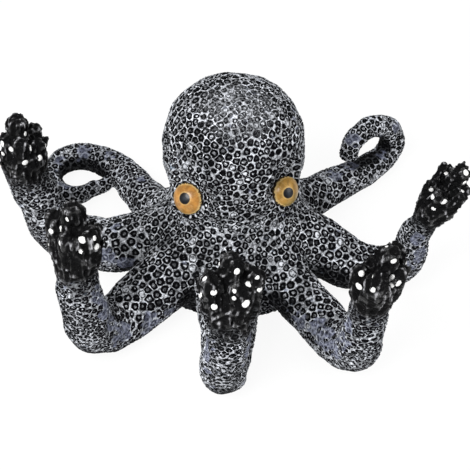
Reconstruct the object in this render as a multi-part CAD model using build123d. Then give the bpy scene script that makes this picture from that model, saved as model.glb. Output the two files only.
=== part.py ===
from build123d import *
import math
import os

# Octopus figurine in cast resin. A hollow mantle casting carries eight arms on steel
# dowels. Five arms lie on the table, turn up and end in black finger-lobed tips; three
# arms at the back curl in. Lengths in millimetres, angles in degrees, +Z up, the face
# looks towards -Y, and the origin is on the table, under the middle of the mantle.

# Soles: everything cast stands clear of the table by the felt's thickness.
FELT_THICKNESS = 1.0
FELT_RADIUS = 40.0
SOLE_DEPTH = 0.8
PAD_RADIUS = 4.0
PAD_GAP = 0.3

# Mantle casting.
MANTLE_RADIUS = 37.2
MANTLE_HEIGHT = 82.0
MANTLE_TOP = 119.0
SHOULDER_SHARE = 0.745
NECK_RADIUS = 33.5
NECK_HEIGHT = 47.0
SKIRT_RADIUS = 47.0
SKIRT_HEIGHT = 12.0
MANTLE_TILT = 2.6
MANTLE_TILT_HEADING = 184.0
WALL = 6.0

# Plate that closes the underside, in a rebate of the mantle casting.
PLATE_RADIUS = 34.0
PLATE_THICKNESS = 3.0
PLATE_GAP = 0.2
CAVITY_MOUTH_RADIUS = 29.0

# Glass eyes, each glued in a socket in a low mound.
EYE_RADIUS = 7.6
EYE_DOME_HEIGHT = 4.6
EYE_RIM = 1.4
EYE_SOCKET_DEPTH = 2.2
EYE_GAP = 0.1
EYE_HEIGHT = {-1: 68.0, 1: 70.0}
EYE_SEAT_RADIUS = 35.0
EYE_SPREAD = 47.5
EYE_TOE_IN = 12.5
EYE_ELEVATION = 26.0
FACE_HEADING = 9.8
EYE_MOUND_RADIUS = 12.0
EYE_MOUND_SET = 7.6

# Glue joints between the arms and the mantle, and the pins that cross them.
ROOT_REACH = 16.0
ROOT_HEIGHT = 31.0
ROOT_SWELL = 5.0
JOINT_REACH = 50.0
JOINT_LIFT = 3.0
ROOT_SLOPE_SHARE = 0.45
SECTION_SPACING = 9.0
DOWEL_RADIUS = 2.5
DOWEL_LENGTH = 24.0
TIP_PIN_RADIUS = 1.5
TIP_PIN_LENGTH = 14.0
PIN_GAP = 0.1
PIN_END_GAP = 0.5

# The five arms that turn up. Headings are seen from above, from the front (-Y) towards
# +X. A sway is a sideways shift to the left of the arm's heading line, seen outwards.
HEADING = {"front": 2.5, "front_right": 44.7, "right": 86.0, "left": -90.0, "front_left": -44.4}
ARM_ROOT_RADIUS = {"front": 16.6, "front_right": 13.6, "right": 15.8, "left": 15.8, "front_left": 17.0}
ARM_KNEE_RADIUS = {"front": 12.2, "front_right": 12.8, "right": 11.6, "left": 13.6, "front_left": 14.0}
ARM_WRIST_RADIUS = {"front": 10.6, "front_right": 9.6, "right": 7.0, "left": 10.8, "front_left": 10.4}
KNEE_REACH = {"front": 99.8, "front_right": 106.5, "right": 97.0, "left": 105.0, "front_left": 104.0}
WRIST_REACH = {"front": 102.5, "front_right": 109.0, "right": 103.6, "left": 113.4, "front_left": 103.5}
WRIST_HEIGHT = {"front": 60.0, "front_right": 58.0, "right": 50.0, "left": 54.0, "front_left": 62.0}
ROOT_SWAY = {"front": -0.5, "front_right": 0.5, "right": -1.5, "left": 8.0, "front_left": 3.0}
SHIN_SWAY = {"front": 1.0, "front_right": 0.5, "right": -5.5, "left": 10.0, "front_left": 3.5}
KNEE_SWAY = {"front": 0.2, "front_right": -3.5, "right": -3.0, "left": 0.5, "front_left": 7.0}
WRIST_SWAY = {"front": 4.0, "front_right": 0.0, "right": 0.0, "left": -4.0, "front_left": 0.5}
TIP_LEAN = {"front": -9.0, "front_right": 8.0, "right": 22.0, "left": -1.0, "front_left": -5.0}
BEND_INSIDE_RADIUS = 4.5
BEND_STEPS = 4
SHIN_SHARE = 0.5

# The three back arms curl in: one stands on edge, two lie flat.
COIL_HEADING = {"back_right": 135.5, "back": 180.0, "back_left": -116.0}
COIL_ROOT_RADIUS = {"back_right": 12.0, "back": 13.0, "back_left": 11.6}
COIL_START_RADIUS = {"back_right": 8.0, "back": 8.4, "back_left": 8.0}
COIL_TIP_RADIUS = {"back_right": 4.8, "back": 4.4, "back_left": 4.4}
COIL_REACH = {"back_right": 110.5, "back": 76.0, "back_left": 110.0}
COIL_WIDTH = {"back_right": 16.7, "back": 15.0, "back_left": 17.0}
COIL_DEPTH = {"back_right": 15.2, "back": 14.5, "back_left": 17.5}
COIL_SHRINK = {"back_right": 1.0, "back": 2.5, "back_left": 4.5}
COIL_TURN = {"back_right": 272.0, "back": 270.0, "back_left": 276.0}
COIL_ENTRY_SWAY = {"back_right": 0.5, "back": -6.0, "back_left": -20.5}
COIL_DRIFT = {"back_right": 3.5, "back": 0.0, "back_left": 0.0}
COIL_LEAN = {"back_right": 9.0, "back": 0.0, "back_left": 0.0}
COIL_UPRIGHT = {"back_right": True, "back": False, "back_left": False}
COIL_STEP = 30.0
FORE_SWAY_SHARE = 0.7

# Black tips: a palm that widens from the wrist, and pointed lobes that stand in it. Each
# lobe has its place outwards and sideways, its top and its radius as shares of the palm.
TIP_HEIGHT = {"front": 46.0, "front_right": 46.0, "right": 42.0, "left": 39.5, "front_left": 46.0}
PALM_HALF_WIDTH = {"front": 15.6, "front_right": 14.6, "right": 12.0, "left": 13.5, "front_left": 15.4}
PALM_HALF_DEPTH = {"front": 12.0, "front_right": 12.0, "right": 10.5, "left": 13.0, "front_left": 12.5}
PALM_HEIGHT_SHARES = (0.18, 0.40, 0.58)
PALM_WIDTH_SHARES = (0.86, 0.94, 0.58)
LOBE_SHARES = (
    (0.15, 0.05, 1.00, 0.42),
    (0.62, 0.34, 0.72, 0.38),
    (0.50, -0.55, 0.80, 0.42),
    (-0.05, 0.72, 0.79, 0.40),
    (-0.30, -0.68, 0.66, 0.38),
    (-0.62, 0.10, 0.60, 0.38),
)
LOBE_BASE_SHARE = 0.22
LOBE_FOOT_SHARE = 0.75
LOBE_PROFILE_SHARES = ((0.80, 0.0), (0.86, 0.6), (0.0, 1.0))

RISING = tuple(HEADING)
CURLED = tuple(COIL_HEADING)


def turned(heading, shape):
    """A shape built with its outward direction along +X, turned to its heading."""
    return Rot(0, 0, heading - 90) * shape


def lying(radius):
    """Centre height of an arm of this radius where its sole is flat on the table."""
    return FELT_THICKNESS + radius - SOLE_DEPTH


def between(start, end, share):
    return start + (end - start) * share


def tilted(shape):
    """The mantle leans a little, about the origin."""
    axis = Axis((0, 0, 0), (math.cos(math.radians(MANTLE_TILT_HEADING)),
                            math.sin(math.radians(MANTLE_TILT_HEADING)), 0))
    return shape.rotate(axis, MANTLE_TILT)


def below_soles():
    """Everything under the level of the soles, as one block."""
    size = 2 * (JOINT_REACH + max(KNEE_REACH.values()))
    return Pos(0, 0, FELT_THICKNESS) * Box(size, size, size, align=(Align.CENTER, Align.CENTER, Align.MAX))


def limb(stations, side, start, end):
    """Loft evenly spaced circles square to a smooth route through the stations.

    A station is a point and a radius. Side is square to the plane that the route bends
    in, and start and end are the directions of its two ends.
    """
    points = [point for point, radius in stations]
    route = Spline(points, tangents=[start, end])
    marks = [route.param_at_point(point) for point in points]
    count = max(round(route.length / SECTION_SPACING), len(points))
    sections = []
    for step in range(count + 1):
        place = step / count
        span = min(sum(mark <= place for mark in marks) - 1, len(marks) - 2)
        share = (place - marks[span]) / (marks[span + 1] - marks[span])
        radius = between(stations[span][1], stations[span + 1][1], share)
        along = route.tangent_at(place)
        plane = Plane(origin=route.position_at(place), x_dir=side - along * side.dot(along), z_dir=along)
        sections.append(plane * Circle(radius))
    return loft(sections)


def rounded_end(point, radius, along):
    """Half a ball on the end of a coil."""
    return Plane(origin=point, z_dir=along) * Sphere(radius, arc_size1=0)


def rising_stations(name):
    """Root, joint, shin, the steps of the knee's bend, and the wrist."""
    root = ARM_ROOT_RADIUS[name]
    knee = ARM_KNEE_RADIUS[name]
    wrist = ARM_WRIST_RADIUS[name]
    bend = knee + BEND_INSIDE_RADIUS
    heel = KNEE_REACH[name] - bend
    shin = between(root, knee, SHIN_SHARE)
    stations = [
        (Vector(ROOT_REACH, ROOT_SWAY[name], ROOT_HEIGHT), root + ROOT_SWELL),
        (Vector(JOINT_REACH, ROOT_SWAY[name], lying(root) + JOINT_LIFT), root),
        (Vector(between(JOINT_REACH, heel, SHIN_SHARE), SHIN_SWAY[name], lying(shin)), shin),
    ]
    for step in range(BEND_STEPS + 1):
        turn = math.radians(90 * step / BEND_STEPS)
        reach = heel + bend * math.sin(turn)
        height = lying(knee) + bend * (1 - math.cos(turn))
        radius = between(knee, wrist, step / BEND_STEPS / 2)
        sway = between(SHIN_SWAY[name], KNEE_SWAY[name], (1 + step / BEND_STEPS) / 2)
        stations.append((Vector(reach, sway, height), radius))
    stations.append((wrist_plane(name).origin, wrist))
    return stations


def wrist_plane(name):
    """The plane where a tip is glued on, in the arm's own frame."""
    lean = math.radians(TIP_LEAN[name])
    origin = (WRIST_REACH[name], WRIST_SWAY[name], WRIST_HEIGHT[name])
    return Plane(origin=origin, x_dir=(math.cos(lean), 0, -math.sin(lean)),
                 z_dir=(math.sin(lean), 0, math.cos(lean)))


def curled_stations(name):
    """Root, joint, fore-arm and the steps of the coil, which shrinks as it turns."""
    root = COIL_ROOT_RADIUS[name]
    start = COIL_START_RADIUS[name]
    fore = between(root, start, SHIN_SHARE)
    entry = COIL_ENTRY_SWAY[name]
    stations = [
        (Vector(ROOT_REACH, 0, ROOT_HEIGHT), root + ROOT_SWELL),
        (Vector(JOINT_REACH, 0, lying(root) + JOINT_LIFT), root),
        (Vector(between(JOINT_REACH, COIL_REACH[name], SHIN_SHARE), entry * FORE_SWAY_SHARE, lying(fore)), fore),
    ]
    steps = round(COIL_TURN[name] / COIL_STEP)
    for step in range(steps + 1):
        share = step / steps
        turn = math.radians(COIL_TURN[name] * share)
        radius = between(start, COIL_TIP_RADIUS[name], share)
        width = COIL_WIDTH[name] - COIL_SHRINK[name] * share
        depth = COIL_DEPTH[name] - COIL_SHRINK[name] * share
        rise = COIL_DEPTH[name] - depth * math.cos(turn)
        lean = COIL_LEAN[name] * rise / COIL_DEPTH[name] / 2
        reach = COIL_REACH[name] + width * math.sin(turn) - lean
        if COIL_UPRIGHT[name]:
            point = Vector(reach, entry + COIL_DRIFT[name] * share, lying(start) + rise)
        else:
            point = Vector(reach, entry + rise, lying(radius))
        stations.append((point, radius))
    return stations


def whole_arm(name):
    """An arm from inside the mantle to its end, in its own frame."""
    outwards = Vector(1, 0, -ROOT_SLOPE_SHARE)
    if name in RISING:
        return limb(rising_stations(name), Vector(0, 1, 0), outwards, wrist_plane(name).z_dir)
    turn = math.radians(COIL_TURN[name])
    stations = curled_stations(name)
    if COIL_UPRIGHT[name]:
        side = Vector(0, 1, 0)
        end = Vector(math.cos(turn), 0, math.sin(turn))
    else:
        side = Vector(0, 0, 1)
        end = Vector(math.cos(turn), math.sin(turn), 0)
    return limb(stations, side, outwards, end) + rounded_end(stations[-1][0], stations[-1][1], end)


def joint_plane(name):
    """The glue joint of an arm, in the arm's own frame, facing outwards."""
    root = ARM_ROOT_RADIUS[name] if name in RISING else COIL_ROOT_RADIUS[name]
    sway = ROOT_SWAY[name] if name in RISING else 0
    return Plane(origin=(JOINT_REACH, sway, lying(root) + JOINT_LIFT), x_dir=(0, 1, 0), z_dir=(1, 0, 0))


def pin(plane, radius, length):
    return plane * Cylinder(radius, length)


def dowel(name, gap=0.0, end_gap=0.0):
    return turned(heading_of(name), pin(joint_plane(name), DOWEL_RADIUS + gap, DOWEL_LENGTH + 2 * end_gap))


def tip_pin(name, gap=0.0, end_gap=0.0):
    return turned(heading_of(name), pin(wrist_plane(name), TIP_PIN_RADIUS + gap, TIP_PIN_LENGTH + 2 * end_gap))


def heading_of(name):
    return HEADING[name] if name in RISING else COIL_HEADING[name]


def arm_and_stub(name):
    """Cut an arm at its glue joint: what is outside is the arm, the rest is cast on."""
    arm = whole_arm(name)
    outer = split(arm, bisect_by=joint_plane(name), keep=Keep.TOP) - pad_seat(name)
    inner = split(arm, bisect_by=joint_plane(name), keep=Keep.BOTTOM)
    return turned(heading_of(name), outer), turned(heading_of(name), inner)


def mantle_shape(inset, mouth_radius):
    """Half outline of the mantle, turned into a solid; inset makes the cavity."""
    base = (mouth_radius, 0)
    skirt = (mouth_radius, SKIRT_HEIGHT)
    neck = (NECK_RADIUS - inset, NECK_HEIGHT)
    widest = (MANTLE_RADIUS - inset, MANTLE_HEIGHT)
    top = (0, MANTLE_TOP - inset)
    flank = Spline([skirt, neck, widest], tangents=[(0, 1), (0, 1)])
    shoulder = (widest[0] * SHOULDER_SHARE, between(widest[1], top[1], SHOULDER_SHARE))
    dome = Spline([widest, shoulder, top], tangents=[(0, 1), (-1, 0)])
    outline = [Line((0, 0), base), Line(base, skirt), flank, dome, Line(top, (0, 0))]
    return tilted(revolve(Plane.XZ * make_face(outline), Axis.Z))


def eye_plane(side):
    """Seat of an eye: side is -1 for the left one in the photograph, +1 for the right."""
    bearing = math.radians(FACE_HEADING + side * EYE_SPREAD)
    look = math.radians(FACE_HEADING + side * (EYE_SPREAD - EYE_TOE_IN))
    rise = math.radians(EYE_ELEVATION)
    origin = (EYE_SEAT_RADIUS * math.sin(bearing), -EYE_SEAT_RADIUS * math.cos(bearing), EYE_HEIGHT[side])
    facing = (math.sin(look) * math.cos(rise), -math.cos(look) * math.cos(rise), math.sin(rise))
    return tilted_plane(Plane(origin=origin, z_dir=facing))


def tilted_plane(plane):
    marker = tilted(Face.make_rect(EYE_RADIUS, EYE_RADIUS, plane))
    return Plane(marker)


def eye(side):
    """A cabochon: a short rim and a spherical dome, flat at the back."""
    ball = (EYE_RADIUS ** 2 + EYE_DOME_HEIGHT ** 2) / (2 * EYE_DOME_HEIGHT)
    back = (EYE_RADIUS, 0)
    rim = (EYE_RADIUS, EYE_RIM)
    crown = (0, EYE_RIM + EYE_DOME_HEIGHT)
    dome = RadiusArc(rim, crown, -ball)
    outline = [Line((0, 0), back), Line(back, rim), dome, Line(crown, (0, 0))]
    solid = revolve(Plane.XZ * make_face(outline), Axis.Z)
    seat = eye_plane(side).offset(-EYE_SOCKET_DEPTH)
    return seat * solid


def body(stubs):
    """Mantle, arm stubs and eye mounds in one casting, with its cavity and holes."""
    solid = mantle_shape(0, SKIRT_RADIUS)
    for stub in stubs:
        solid += stub
    for side in (-1, 1):
        solid += eye_plane(side) * Pos(0, 0, -EYE_MOUND_SET) * Sphere(EYE_MOUND_RADIUS)
    solid -= below_soles()
    solid -= mantle_shape(WALL, CAVITY_MOUTH_RADIUS)
    solid -= Pos(0, 0, FELT_THICKNESS) * Cylinder(
        PLATE_RADIUS + PLATE_GAP, PLATE_THICKNESS, align=(Align.CENTER, Align.CENTER, Align.MIN))
    for side in (-1, 1):
        socket = Cylinder(EYE_RADIUS + EYE_GAP, EYE_SOCKET_DEPTH + EYE_DOME_HEIGHT,
                          align=(Align.CENTER, Align.CENTER, Align.MIN))
        solid -= eye_plane(side).offset(-EYE_SOCKET_DEPTH) * socket
    for name in RISING + CURLED:
        solid -= dowel(name, PIN_GAP, PIN_END_GAP)
    return solid


def lobe(height, radius):
    """A pointed, slightly swollen lobe standing on the origin."""
    points = [(radius * across, height * up) for across, up in LOBE_PROFILE_SHARES]
    side = Spline(points, tangents=[(radius, height), (-1, 0)])
    outline = [Line((0, 0), points[0]), side, Line(points[-1], (0, 0))]
    return revolve(Plane.XZ * make_face(outline), Axis.Z)


def tip(name):
    """A palm with lobes in it, standing on the arm's wrist, drilled for its pin."""
    height = TIP_HEIGHT[name]
    width = PALM_HALF_WIDTH[name]
    depth = PALM_HALF_DEPTH[name]
    sections = [Circle(ARM_WRIST_RADIUS[name])]
    for up, share in zip(PALM_HEIGHT_SHARES, PALM_WIDTH_SHARES):
        sections.append(Pos(0, 0, height * up) * Ellipse(depth * share, width * share))
    solid = loft(sections)
    for outward, sideways, top, thick in LOBE_SHARES:
        place = Vector(depth * outward, width * sideways, 0)
        foot = place * LOBE_FOOT_SHARE + Vector(0, 0, height * LOBE_BASE_SHARE)
        line = place + Vector(0, 0, height * top) - foot
        solid += Plane(origin=foot, z_dir=line) * lobe(line.length, width * thick)
    return turned(HEADING[name], wrist_plane(name) * solid) - tip_pin(name, PIN_GAP, PIN_END_GAP)


def sole_point(name):
    """Where an arm's pad sits: the last place where the arm lies on the table."""
    if name in RISING:
        heel = KNEE_REACH[name] - ARM_KNEE_RADIUS[name] - BEND_INSIDE_RADIUS
        return Pos(heel, between(SHIN_SWAY[name], KNEE_SWAY[name], 0.5), 0)
    return Pos(COIL_REACH[name], COIL_ENTRY_SWAY[name], 0)


def pad_seat(name):
    """The flat spot that is ground on an arm's underside for its pad."""
    spot = Cylinder(PAD_RADIUS + PAD_GAP, FELT_THICKNESS, align=(Align.CENTER, Align.CENTER, Align.MIN))
    return sole_point(name) * spot


def pad(name):
    return turned(heading_of(name), sole_point(name) * disc(PAD_RADIUS, 0, FELT_THICKNESS))


def disc(radius, bottom, thickness):
    return Pos(0, 0, bottom) * Cylinder(radius, thickness, align=(Align.CENTER, Align.CENTER, Align.MIN))


def together(shapes):
    """Separate solids that share one node."""
    return Compound(children=[solid for shape in shapes for solid in shape.solids()])


def write(name, shape):
    shape.label = name
    export_step(shape, "parts/" + name + ".step")


os.makedirs("parts", exist_ok=True)

stubs = []
for arm_name in RISING + CURLED:
    arm, stub = arm_and_stub(arm_name)
    arm -= dowel(arm_name, PIN_GAP, PIN_END_GAP)
    if arm_name in RISING:
        arm -= tip_pin(arm_name, PIN_GAP, PIN_END_GAP)
        write("tip_" + arm_name, tip(arm_name))
    write("arm_" + arm_name, arm)
    stubs.append(stub)

write("body_casting", body(stubs))
write("base_plate", disc(PLATE_RADIUS, FELT_THICKNESS, PLATE_THICKNESS))
write("base_felt", disc(FELT_RADIUS, 0, FELT_THICKNESS))
write("eye_left", eye(-1))
write("eye_right", eye(1))
write("arm_dowels", together([dowel(arm_name) for arm_name in RISING + CURLED]))
write("tip_pins", together([tip_pin(arm_name) for arm_name in RISING]))
write("arm_pads", together([pad(arm_name) for arm_name in RISING + CURLED]))
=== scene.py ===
import math
from functools import lru_cache

import bmesh
import bpy
import numpy as np
from bpy.props import FloatProperty, FloatVectorProperty, IntProperty, PointerProperty
from mathutils import Matrix, Vector
from mathutils.bvhtree import BVHTree
from mathutils.kdtree import KDTree


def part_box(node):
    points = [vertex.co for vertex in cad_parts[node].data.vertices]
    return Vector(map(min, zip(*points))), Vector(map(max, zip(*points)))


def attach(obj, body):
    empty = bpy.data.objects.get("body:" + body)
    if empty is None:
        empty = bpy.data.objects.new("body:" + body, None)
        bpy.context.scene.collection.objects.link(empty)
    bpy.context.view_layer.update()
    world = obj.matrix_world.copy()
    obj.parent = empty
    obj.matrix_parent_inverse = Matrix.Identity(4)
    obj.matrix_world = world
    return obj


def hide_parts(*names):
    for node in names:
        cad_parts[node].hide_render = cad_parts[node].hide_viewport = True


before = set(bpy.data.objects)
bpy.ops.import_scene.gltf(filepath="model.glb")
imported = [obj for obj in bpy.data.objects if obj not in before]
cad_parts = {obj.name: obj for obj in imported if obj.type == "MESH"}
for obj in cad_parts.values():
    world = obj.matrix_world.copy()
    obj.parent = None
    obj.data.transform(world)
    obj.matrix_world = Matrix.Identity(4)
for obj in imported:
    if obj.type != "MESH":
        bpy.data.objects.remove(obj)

bl_info = {
    "name": "Octopus figurine dress",
    "version": (1, 0, 0),
    "blender": (4, 5, 0),
    "location": "View3D > Sidebar > Octopus",
    "description": "Gives the cast octopus its pressed relief, brushed paint, eyes and black tips",
    "category": "Object",
}

# Lengths are in metres. The tables of places are in millimetres.
MM = 0.001

ARM_NODES = ("arm_front", "arm_front_right", "arm_right", "arm_back_right", "arm_back", "arm_back_left",
             "arm_left", "arm_front_left")
TIP_NODES = ("tip_front", "tip_front_right", "tip_right", "tip_left", "tip_front_left")
CAST_NODES = ("body_casting",) + ARM_NODES + TIP_NODES
EYES = ("eye_left", "eye_right")

# White suckers on the black tips: where each one sits, and its width.
SUCKERS = {
    "tip_front": (
        (-2.9, -104.8, 96.0, 2.9), (-5.5, -100.8, 80.2, 2.7), (1.5, -108.8, 91.3, 3.3),
        (2.1, -109.6, 82.6, 3.1), (11.3, -102.4, 100.5, 3.2), (11.3, -107.6, 92.2, 2.4),
        (11.2, -109.0, 88.2, 2.2), (17.4, -101.4, 91.0, 3.6), (16.7, -108.5, 85.1, 4.0),
        (21.4, -99.5, 93.6, 2.4), (22.5, -100.5, 86.8, 3.2), (3.5, -98.0, 100.0, 2.6)),
    "tip_front_right": (
        (70.2, -86.5, 88.1, 3.2), (69.5, -88.4, 81.0, 3.6), (76.3, -91.1, 91.3, 2.8),
        (76.1, -94.3, 85.6, 3.0), (85.0, -85.4, 85.7, 3.4), (84.5, -86.1, 81.2, 3.0),
        (88.6, -86.2, 82.4, 3.6), (84.8, -86.5, 98.3, 3.4), (90.5, -75.2, 85.1, 3.2),
        (81.2, -81.6, 102.0, 2.4)),
    "tip_front_left": (
        (-81.6, -76.3, 91.4, 3.0), (-76.3, -75.3, 91.9, 3.0), (-74.8, -81.0, 89.6, 3.2),
        (-84.7, -74.2, 80.5, 3.0), (-65.1, -82.9, 93.8, 4.2), (-59.7, -82.5, 95.1, 2.6),
        (-66.3, -83.2, 86.1, 3.8), (-59.4, -81.2, 87.8, 3.8), (-72.3, -76.6, 101.5, 2.4),
        (-84.3, -68.1, 88.8, 2.4)),
    "tip_left": (
        (-121.2, 3.0, 84.0, 3.0), (-122.6, -2.9, 79.1, 3.0), (-123.7, -2.8, 72.1, 3.0),
        (-118.3, -5.0, 76.8, 3.2), (-107.8, -4.1, 78.5, 3.4), (-110.3, -8.5, 72.3, 3.2),
        (-103.9, -3.4, 71.1, 3.2), (-110.7, 0.4, 84.3, 2.8), (-101.7, 4.4, 72.9, 2.4)),
    "tip_right": (
        (111.3, -2.0, 78.5, 2.6), (120.5, -10.2, 87.7, 3.0), (119.4, -15.3, 78.6, 3.4),
        (120.1, -12.1, 82.4, 3.0), (105.1, -14.7, 73.1, 3.0), (110.7, -18.4, 73.6, 3.6),
        (106.0, -17.4, 67.9, 2.6), (115.7, 0.8, 80.9, 2.4), (104.0, -9.6, 73.2, 2.8)),
}

# Places where the relief was wiped smooth and brushed blue-grey: place and radius.
WIPED = (
    (-61.0, -80.0, 52.0, 6.0), (-58.5, -81.0, 41.0, 6.5), (-56.0, -79.0, 30.0, 7.0),
    (-51.5, -78.5, 19.0, 8.0), (-67.0, -23.0, 20.0, 7.0), (-57.0, -24.0, 17.0, 6.0),
    (-64.0, -12.0, 31.0, 4.0), (-37.7, -65.2, 15.0, 8.0), (-29.0, -58.0, 14.0, 6.0),
    (-2.5, -105.0, 52.4, 5.0), (-1.6, -108.5, 44.0, 5.0), (-1.5, -108.0, 34.0, 4.0),
    (18.4, -103.0, 56.0, 4.5), (17.8, -106.0, 48.0, 4.5), (16.5, -106.0, 38.0, 4.0),
    (42.0, -57.0, 18.0, 6.0), (50.5, -63.0, 20.0, 7.0), (55.5, -71.0, 20.0, 8.5),
    (61.0, -78.0, 24.0, 9.0), (65.0, -83.0, 34.0, 7.0), (67.0, -82.0, 46.0, 5.5),
    (100.0, -15.4, 42.0, 5.0), (102.0, -16.5, 32.0, 5.5), (98.0, -18.7, 26.0, 5.0),
    (61.5, 64.5, 19.0, 6.0), (53.0, 52.6, 21.0, 6.0), (78.7, 77.9, 16.0, 5.0),
    (86.0, 84.0, 34.0, 5.0), (61.6, 64.7, 37.9, 6.0), (-108.0, 57.5, 13.0, 5.0),
    (-95.0, 65.0, 15.0, 6.0), (-79.0, 60.0, 17.0, 5.0), (-57.5, 38.0, 22.0, 4.0),
    (-101.0, 40.0, 11.0, 5.0),
)

# Blue-grey dabs of paint round the eyes, over the relief: place and radius.
DABS = ((-23.6, -25.0, 83.0, 4.0), (-17.0, -29.5, 86.0, 4.0), (24.7, -23.6, 84.0, 4.0),
        (33.2, -12.3, 80.5, 3.5), (-31.0, -19.0, 84.0, 3.0))

# Pale, flat, filled cells down the middle of the face and where three arms begin.
FILLED = ((3.7, -29.3, 99.8), (4.4, -31.3, 91.3), (5.1, -32.7, 78.0), (2.9, -31.9, 69.1), (3.4, -33.0, 58.0),
          (10.5, -31.5, 96.0), (48.0, -12.0, 36.0), (36.0, -38.0, 36.0), (-40.0, -34.0, 36.0))

# Middles of the curled ends, whose inner faces are plain and dark: place and radius.
CURLS = ((-98.0, 52.0, 9.0, 26.0), (71.0, 73.0, 24.0, 26.0), (6.0, 88.0, 9.0, 24.0))

# Painted shade: places kept black, most of them in deep shadow between the arms: place and radius.
PAINTED_SHADE_SPOTS = ((-18.6, -47.8, 18.2, 9.0), (-16.1, -43.8, 2.8, 12.0), (27.8, -46.5, 18.0, 8.0),
        (30.8, -49.3, 15.7, 8.0), (60.4, -22.9, 12.5, 10.0), (52.0, -21.3, 15.4, 8.0),
        (-53.3, -24.2, 12.0, 7.0), (-21.0, -26.0, 66.0, 6.0), (96.4, -15.0, 20.8, 6.0))

# Ends of the small pointed fingers on the black tips.
FINGERS = {
    "tip_front": ((10.1, -92.5, 101.6), (-2.7, -96.5, 93.7), (-6.8, -96.5, 85.0), (16.5, -94.0, 96.2),
                  (20.5, -92.5, 92.5), (24.3, -96.0, 92.6), (3.0, -99.0, 96.5)),
    "tip_front_right": ((75.5, -81.6, 99.9), (86.4, -70.4, 96.0), (91.0, -75.6, 91.5), (70.0, -82.5, 90.6),
                        (80.5, -86.0, 101.0), (92.6, -80.7, 88.0), (66.5, -80.0, 84.0)),
    "tip_front_left": ((-70.0, -70.5, 109.6), (-76.9, -70.4, 101.0), (-67.0, -70.5, 95.4),
                       (-62.4, -66.0, 90.6), (-57.0, -74.5, 97.0), (-84.9, -69.5, 90.0),
                       (-56.5, -73.8, 86.0), (-79.0, -76.5, 94.5)),
    "tip_left": ((-113.6, 10.5, 80.6), (-109.0, 13.5, 75.5), (-101.5, 8.0, 75.0), (-124.8, 2.8, 78.0),
                 (-125.0, -3.0, 73.0), (-120.5, 4.0, 87.0)),
    "tip_right": ((118.8, -3.2, 87.5), (109.6, 0.8, 82.8), (106.8, -1.2, 76.6), (102.0, -8.0, 76.2),
                  (123.2, -8.6, 85.5), (123.4, -14.4, 79.5), (113.5, -6.0, 84.0)),
}

# A finger's radii at its root and its end, its length, and how much shorter each of the next two is.
FINGER_RADII = (0.0029, 0.0007)
FINGER_LENGTH = 0.0085
FINGER_SHORTER = 0.0012

# How far a finger goes past the place in the table, and how far it leans out from the tip.
FINGER_PAST_END = 0.0012
FINGER_SPREAD = 0.45

# Lengths that carry the back left coil's end up to its arm: start, end and the radius at each.
FILLETS = (((-86.0, 42.5, 5.6), (-80.5, 46.5, 6.4), 4.3, 4.0),
           ((-80.5, 46.5, 6.4), (-76.0, 52.5, 8.5), 4.0, 3.6))

# The disc that shuts the hollow body from below before the skin is made.
STOPPER_RADIUS = 0.041
STOPPER_DEPTH = 0.008

# A point this close to a plane or a rim is on it.
TOUCHING = 2e-5

# No glued joint's face reaches further than this from its pin.
JOINT_REACH = 0.024

# The cut at a joint takes the skin this far from its plane, and this far past its face.
CUT_DEPTH = 0.0020
CUT_MARGIN = 0.0038

# Shells of the cut skin with fewer points than this are crumbs.
CRUMB = 200

# The skin stands this far off the castings, and its underside this far off the table.
SKIN_LIFT = 0.00012
TABLE_GAP = 0.00005

# The most points tried as rosette centres, and how close they may be, as a share of their width.
CENTRE_TRIES = 140000
CENTRE_SPACING = 0.84
SPREADING_ROUNDS = 2
SPREADING_SHARE = 0.7

# Each face stores the four rosette centres nearest to it under these names.
CELLS = ("cell_a", "cell_b", "cell_c", "cell_d")

# The patch of finer, half-filled cells on the forehead: place and radius.
FOREHEAD = (3.0, -6.0, 118.0)
FOREHEAD_RADIUS = 17.0

# How much wider each eye's dome is than its solid, and how much higher it stands.
EYE_GROWTH = {"eye_left": 1.12, "eye_right": 1.06}
EYE_LIFT = 0.0005
DOME_STEPS = 34
DOME_TURNS = 96

# Skin this near to an eye, to its side and above it, is pressed back. Both are shares of its radius.
CLEARING_REACH = 2.4
CLEARING_HEIGHT = 2.2

# The skin may stand up to this share of the rim's height. Past the start, which is a share of the
# radius, it may stand higher, by the slope and the curve.
CEILING = 0.45
CEILING_START = 1.15
CEILING_SLOPE = 0.40
CEILING_CURVE = 35.0

# The relief starts beside an eye between these shares of its radius.
RELIEF_BY_EYES = (1.05, 1.3)

# A painted spot is solid out to the first share of its radius, and ends at the second.
SPOT_SHARES = (0.55, 1.15)

# A pin that rises more steeply than this points up. The others point outwards.
STEEP = 0.7

# Each round of easing steps towards the neighbours and then a little further back.
EASING_STEPS = (0.50, -0.52)

# The webbing measures the skin's normals again after this many rounds.
NORMALS_EVERY = 12

# Distances from the middle of the object between which one part gives way to the next.
ROOTS_START = (0.028, 0.036)
SHOULDERS_START = (0.034, 0.052)
CRESTS_START = (0.045, 0.060)
BACK_CRESTS_START = (0.055, 0.085)
ARMS_START = (0.066, 0.090)
ROOTS_END = (0.066, 0.080)
CURLS_START = (0.070, 0.100)
HEELS_START = (0.080, 0.096)
WRISTS_START = (0.098, 0.108)

# Heights over the table, and distances towards the back, used in the same way.
HEELS_RISE = (0.006, 0.026)
MANTLE_STARTS = (0.05, 0.07)
BACK_STARTS = (0.010, 0.040)
BACK_CRESTS_LIE = (0.015, 0.045)

# A point belongs to a tip if it is this near to the wrist's axis and no further than this before it.
TIP_REACH = 0.034
TIP_LEAD = 0.045

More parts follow.
